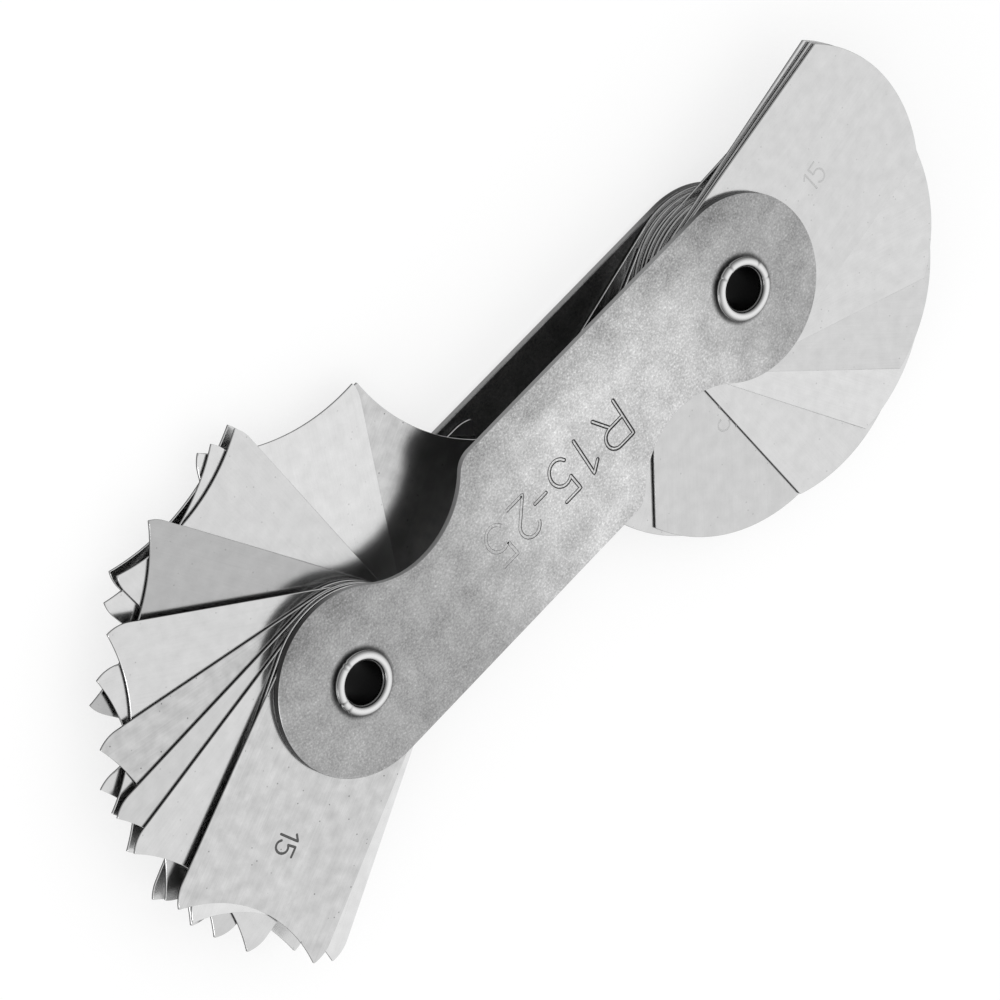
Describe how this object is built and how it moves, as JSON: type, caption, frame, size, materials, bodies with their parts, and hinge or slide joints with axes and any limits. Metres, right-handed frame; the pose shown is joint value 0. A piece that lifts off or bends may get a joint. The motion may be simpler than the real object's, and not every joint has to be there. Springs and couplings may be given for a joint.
{
  "type": "radius gauge",
  "caption": "Folding radius gauge: fans of thin steel leaves with concave and convex arc ends, turning on two hollow rivets between slim steel covers with finger notches.",
  "frame": {"origin": "on the axis of the rivet that carries the concave leaves, halfway through the stack of leaves", "axes": "+X from the concave leaves' rivet to the convex leaves' rivet, +Z out of the front cover along the rivet axes, +Y towards the side where the finger notch beside the concave leaves' rivet opens"},
  "size_m": [0.1098, 0.0537, 0.0088],
  "materials": {
    "cover_steel": "tumbled satin",
    "leaf_steel": "ground satin",
    "rivet_steel": "plated, rolled"
  },
  "bodies": {
    "handle": {"front_cover": "cover_steel", "rear_cover": "cover_steel", "concave_rivet": "rivet_steel", "convex_rivet": "rivet_steel"},
    "concave_leaf_r15_0": {"concave_leaf_r15_0": "leaf_steel"},
    "concave_leaf_r15_5": {"concave_leaf_r15_5": "leaf_steel"},
    "concave_leaf_r16_0": {"concave_leaf_r16_0": "leaf_steel"},
    "concave_leaf_r16_5": {"concave_leaf_r16_5": "leaf_steel"},
    "concave_leaf_r17_0": {"concave_leaf_r17_0": "leaf_steel"},
    "concave_leaf_r17_5": {"concave_leaf_r17_5": "leaf_steel"},
    "concave_leaf_r18_0": {"concave_leaf_r18_0": "leaf_steel"},
    "concave_leaf_r18_5": {"concave_leaf_r18_5": "leaf_steel"},
    "concave_leaf_r19_0": {"concave_leaf_r19_0": "leaf_steel"},
    "concave_leaf_r19_5": {"concave_leaf_r19_5": "leaf_steel"},
    "concave_leaf_r20_0": {"concave_leaf_r20_0": "leaf_steel"},
    "concave_leaf_r21_0": {"concave_leaf_r21_0": "leaf_steel"},
    "concave_leaf_r22_0": {"concave_leaf_r22_0": "leaf_steel"},
    "concave_leaf_r23_0": {"concave_leaf_r23_0": "leaf_steel"},
    "concave_leaf_r24_0": {"concave_leaf_r24_0": "leaf_steel"},
    "concave_leaf_r25_0": {"concave_leaf_r25_0": "leaf_steel"},
    "convex_leaf_r15_0": {"convex_leaf_r15_0": "leaf_steel"},
    "convex_leaf_r15_5": {"convex_leaf_r15_5": "leaf_steel"},
    "convex_leaf_r16_0": {"convex_leaf_r16_0": "leaf_steel"},
    "convex_leaf_r16_5": {"convex_leaf_r16_5": "leaf_steel"},
    "convex_leaf_r17_0": {"convex_leaf_r17_0": "leaf_steel"},
    "convex_leaf_r17_5": {"convex_leaf_r17_5": "leaf_steel"},
    "convex_leaf_r18_0": {"convex_leaf_r18_0": "leaf_steel"},
    "convex_leaf_r18_5": {"convex_leaf_r18_5": "leaf_steel"},
    "convex_leaf_r19_0": {"convex_leaf_r19_0": "leaf_steel"},
    "convex_leaf_r19_5": {"convex_leaf_r19_5": "leaf_steel"},
    "convex_leaf_r20_0": {"convex_leaf_r20_0": "leaf_steel"},
    "convex_leaf_r21_0": {"convex_leaf_r21_0": "leaf_steel"},
    "convex_leaf_r22_0": {"convex_leaf_r22_0": "leaf_steel"},
    "convex_leaf_r23_0": {"convex_leaf_r23_0": "leaf_steel"},
    "convex_leaf_r24_0": {"convex_leaf_r24_0": "leaf_steel"},
    "convex_leaf_r25_0": {"convex_leaf_r25_0": "leaf_steel"}
  },
  "joints": [
    {"name": "concave_r15_0_pivot", "type": "hinge", "parent": "handle", "child": "concave_leaf_r15_0", "pos_m": [0, 0, 0], "axis": [0, 0, 1], "continuous": true},
    {"name": "concave_r15_5_pivot", "type": "hinge", "parent": "handle", "child": "concave_leaf_r15_5", "pos_m": [0, 0, 0], "axis": [0, 0, 1], "continuous": true},
    {"name": "concave_r16_0_pivot", "type": "hinge", "parent": "handle", "child": "concave_leaf_r16_0", "pos_m": [0, 0, 0], "axis": [0, 0, 1], "continuous": true},
    {"name": "concave_r16_5_pivot", "type": "hinge", "parent": "handle", "child": "concave_leaf_r16_5", "pos_m": [0, 0, 0], "axis": [0, 0, 1], "continuous": true},
    {"name": "concave_r17_0_pivot", "type": "hinge", "parent": "handle", "child": "concave_leaf_r17_0", "pos_m": [0, 0, 0], "axis": [0, 0, 1], "continuous": true},
    {"name": "concave_r17_5_pivot", "type": "hinge", "parent": "handle", "child": "concave_leaf_r17_5", "pos_m": [0, 0, 0], "axis": [0, 0, 1], "continuous": true},
    {"name": "concave_r18_0_pivot", "type": "hinge", "parent": "handle", "child": "concave_leaf_r18_0", "pos_m": [0, 0, 0], "axis": [0, 0, 1], "continuous": true},
    {"name": "concave_r18_5_pivot", "type": "hinge", "parent": "handle", "child": "concave_leaf_r18_5", "pos_m": [0, 0, 0], "axis": [0, 0, 1], "continuous": true},
    {"name": "concave_r19_0_pivot", "type": "hinge", "parent": "handle", "child": "concave_leaf_r19_0", "pos_m": [0, 0, 0], "axis": [0, 0, 1], "continuous": true},
    {"name": "concave_r19_5_pivot", "type": "hinge", "parent": "handle", "child": "concave_leaf_r19_5", "pos_m": [0, 0, 0], "axis": [0, 0, 1], "continuous": true},
    {"name": "concave_r20_0_pivot", "type": "hinge", "parent": "handle", "child": "concave_leaf_r20_0", "pos_m": [0, 0, 0], "axis": [0, 0, 1], "continuous": true},
    {"name": "concave_r21_0_pivot", "type": "hinge", "parent": "handle", "child": "concave_leaf_r21_0", "pos_m": [0, 0, 0], "axis": [0, 0, 1], "continuous": true},
    {"name": "concave_r22_0_pivot", "type": "hinge", "parent": "handle", "child": "concave_leaf_r22_0", "pos_m": [0, 0, 0], "axis": [0, 0, 1], "continuous": true},
    {"name": "concave_r23_0_pivot", "type": "hinge", "parent": "handle", "child": "concave_leaf_r23_0", "pos_m": [0, 0, 0], "axis": [0, 0, 1], "continuous": true},
    {"name": "concave_r24_0_pivot", "type": "hinge", "parent": "handle", "child": "concave_leaf_r24_0", "pos_m": [0, 0, 0], "axis": [0, 0, 1], "continuous": true},
    {"name": "concave_r25_0_pivot", "type": "hinge", "parent": "handle", "child": "concave_leaf_r25_0", "pos_m": [0, 0, 0], "axis": [0, 0, 1], "continuous": true},
    {"name": "convex_r15_0_pivot", "type": "hinge", "parent": "handle", "child": "convex_leaf_r15_0", "pos_m": [0.0558, 0, 0], "axis": [0, 0, 1], "continuous": true},
    {"name": "convex_r15_5_pivot", "type": "hinge", "parent": "handle", "child": "convex_leaf_r15_5", "pos_m": [0.0558, 0, 0], "axis": [0, 0, 1], "continuous": true},
    {"name": "convex_r16_0_pivot", "type": "hinge", "parent": "handle", "child": "convex_leaf_r16_0", "pos_m": [0.0558, 0, 0], "axis": [0, 0, 1], "continuous": true},
    {"name": "convex_r16_5_pivot", "type": "hinge", "parent": "handle", "child": "convex_leaf_r16_5", "pos_m": [0.0558, 0, 0], "axis": [0, 0, 1], "continuous": true},
    {"name": "convex_r17_0_pivot", "type": "hinge", "parent": "handle", "child": "convex_leaf_r17_0", "pos_m": [0.0558, 0, 0], "axis": [0, 0, 1], "continuous": true},
    {"name": "convex_r17_5_pivot", "type": "hinge", "parent": "handle", "child": "convex_leaf_r17_5", "pos_m": [0.0558, 0, 0], "axis": [0, 0, 1], "continuous": true},
    {"name": "convex_r18_0_pivot", "type": "hinge", "parent": "handle", "child": "convex_leaf_r18_0", "pos_m": [0.0558, 0, 0], "axis": [0, 0, 1], "continuous": true},
    {"name": "convex_r18_5_pivot", "type": "hinge", "parent": "handle", "child": "convex_leaf_r18_5", "pos_m": [0.0558, 0, 0], "axis": [0, 0, 1], "continuous": true},
    {"name": "convex_r19_0_pivot", "type": "hinge", "parent": "handle", "child": "convex_leaf_r19_0", "pos_m": [0.0558, 0, 0], "axis": [0, 0, 1], "continuous": true},
    {"name": "convex_r19_5_pivot", "type": "hinge", "parent": "handle", "child": "convex_leaf_r19_5", "pos_m": [0.0558, 0, 0], "axis": [0, 0, 1], "continuous": true},
    {"name": "convex_r20_0_pivot", "type": "hinge", "parent": "handle", "child": "convex_leaf_r20_0", "pos_m": [0.0558, 0, 0], "axis": [0, 0, 1], "continuous": true},
    {"name": "convex_r21_0_pivot", "type": "hinge", "parent": "handle", "child": "convex_leaf_r21_0", "pos_m": [0.0558, 0, 0], "axis": [0, 0, 1], "continuous": true},
    {"name": "convex_r22_0_pivot", "type": "hinge", "parent": "handle", "child": "convex_leaf_r22_0", "pos_m": [0.0558, 0, 0], "axis": [0, 0, 1], "continuous": true},
    {"name": "convex_r23_0_pivot", "type": "hinge", "parent": "handle", "child": "convex_leaf_r23_0", "pos_m": [0.0558, 0, 0], "axis": [0, 0, 1], "continuous": true},
    {"name": "convex_r24_0_pivot", "type": "hinge", "parent": "handle", "child": "convex_leaf_r24_0", "pos_m": [0.0558, 0, 0], "axis": [0, 0, 1], "continuous": true},
    {"name": "convex_r25_0_pivot", "type": "hinge", "parent": "handle", "child": "convex_leaf_r25_0", "pos_m": [0.0558, 0, 0], "axis": [0, 0, 1], "continuous": true}
  ]
}
